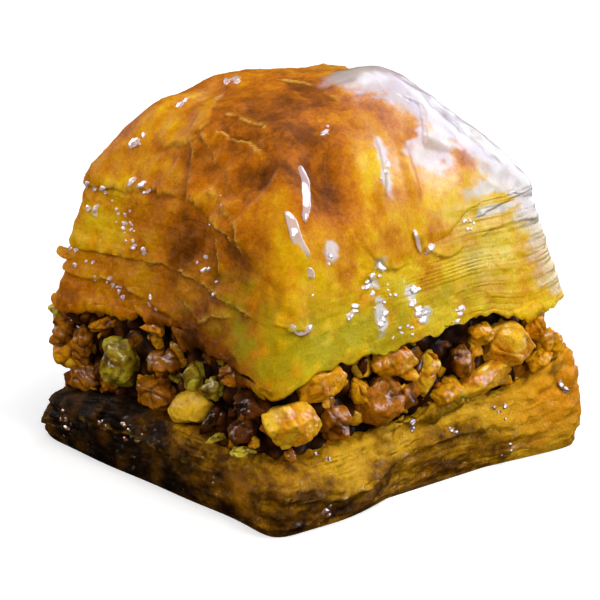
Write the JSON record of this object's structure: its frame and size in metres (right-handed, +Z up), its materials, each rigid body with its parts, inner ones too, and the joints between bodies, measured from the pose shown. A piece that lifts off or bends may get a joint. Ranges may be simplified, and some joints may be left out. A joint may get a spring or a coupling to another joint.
{
  "type": "baklava piece",
  "caption": "Square piece of baklava with a puffed, glazed top stack of pastry leaves, a layer of chopped nuts and a syrup-soaked bottom stack.",
  "frame": {"origin": "centre of the bounding box at the flat foot of the bottom stack, on the surface it stands on", "axes": "+Z up through the crown; +X and +Y out of two neighbouring cut sides, the longer dimension along Y; the crisp corner with the drooping tip points to (+X, -Y)"},
  "size_m": [0.0422, 0.0457, 0.042],
  "materials": {
    "soaked_pastry": "pastry leaves soaked dark brown in honey syrup, wet gloss",
    "chopped_nuts": "chopped walnut and pistachio coated in syrup, glossy amber to brown",
    "glazed_pastry": "baked flaky pastry leaves, golden yellow to amber, glazed with clear syrup"
  },
  "bodies": {
    "root": {"bottom_pastry": "soaked_pastry", "nut_filling": "chopped_nuts", "top_pastry": "glazed_pastry"}
  },
  "joints": []
}
